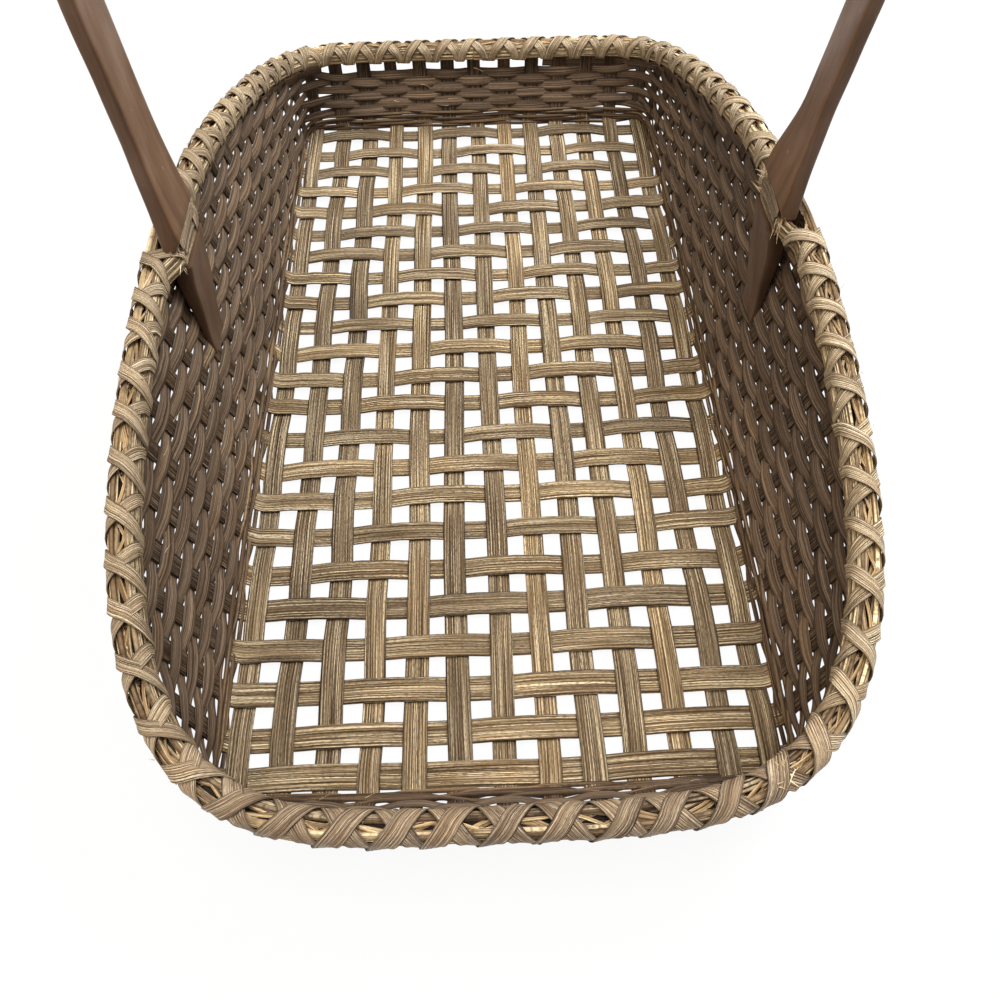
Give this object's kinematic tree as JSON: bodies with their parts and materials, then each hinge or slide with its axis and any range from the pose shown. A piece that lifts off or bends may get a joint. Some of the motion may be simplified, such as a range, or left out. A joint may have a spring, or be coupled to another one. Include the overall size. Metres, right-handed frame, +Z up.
{
  "type": "gathering basket",
  "caption": "Long shallow gathering basket woven from flat reed, with a saddle-shaped lashed rim and a fixed bent-wood arch handle across its width.",
  "frame": {"origin": "on the floor under the middle of the basket", "axes": "+Z up; +Y along the basket's length, towards its slightly narrower end; +X along its width, to the right when looking along +Y"},
  "size_m": [0.3387, 0.5588, 0.35],
  "materials": {
    "reed": "matte aged flat reed",
    "round_reed": "matte aged round reed",
    "weaver": "matte dark flat reed",
    "hoop": "matte ribbed reed",
    "filler": "matte split strands",
    "lashing": "satin ribbed reed",
    "handle_wood": "smooth worn wood"
  },
  "bodies": {
    "root": {"lengthwise_stake_01": "reed", "lengthwise_stake_02": "reed", "lengthwise_stake_03": "reed", "lengthwise_stake_04": "reed", "lengthwise_stake_05": "reed", "lengthwise_stake_06": "reed", "lengthwise_stake_07": "reed", "lengthwise_stake_08": "reed", "lengthwise_stake_09": "reed", "lengthwise_stake_10": "reed", "lengthwise_stake_11": "reed", "lengthwise_stake_12": "reed", "lengthwise_stake_13": "reed", "crosswise_stake_01": "reed", "crosswise_stake_02": "reed", "crosswise_stake_03": "reed", "crosswise_stake_04": "reed", "crosswise_stake_05": "reed", "crosswise_stake_06": "reed", "crosswise_stake_07": "reed", "crosswise_stake_08": "reed", "crosswise_stake_09": "reed", "crosswise_stake_10": "reed", "crosswise_stake_11": "reed", "crosswise_stake_12": "reed", "crosswise_stake_13": "reed", "crosswise_stake_14": "reed", "crosswise_stake_15": "reed", "crosswise_stake_16": "reed", "crosswise_stake_17": "reed", "crosswise_stake_18": "reed", "crosswise_stake_19": "reed", "crosswise_stake_20": "reed", "crosswise_stake_21": "reed", "crosswise_stake_22": "reed", "crosswise_stake_23": "reed", "lock_row_1": "round_reed", "lock_row_2": "round_reed", "lock_row_3": "round_reed", "weaver_row_01": "weaver", "weaver_row_02": "weaver", "weaver_row_03": "weaver", "weaver_row_04": "weaver", "weaver_row_05": "weaver", "weaver_row_06": "weaver", "right_short_row_07": "weaver", "right_short_row_08": "weaver", "right_short_row_09": "weaver", "left_short_row_07": "weaver", "left_short_row_08": "weaver", "left_short_row_09": "weaver", "outer_rim_hoop": "hoop", "inner_rim_hoop": "hoop", "rim_filler": "filler", "near_lashing_leaning_left": "lashing", "near_lashing_leaning_right": "lashing", "far_lashing_leaning_left": "lashing", "far_lashing_leaning_right": "lashing", "handle": "handle_wood"}
  },
  "joints": []
}
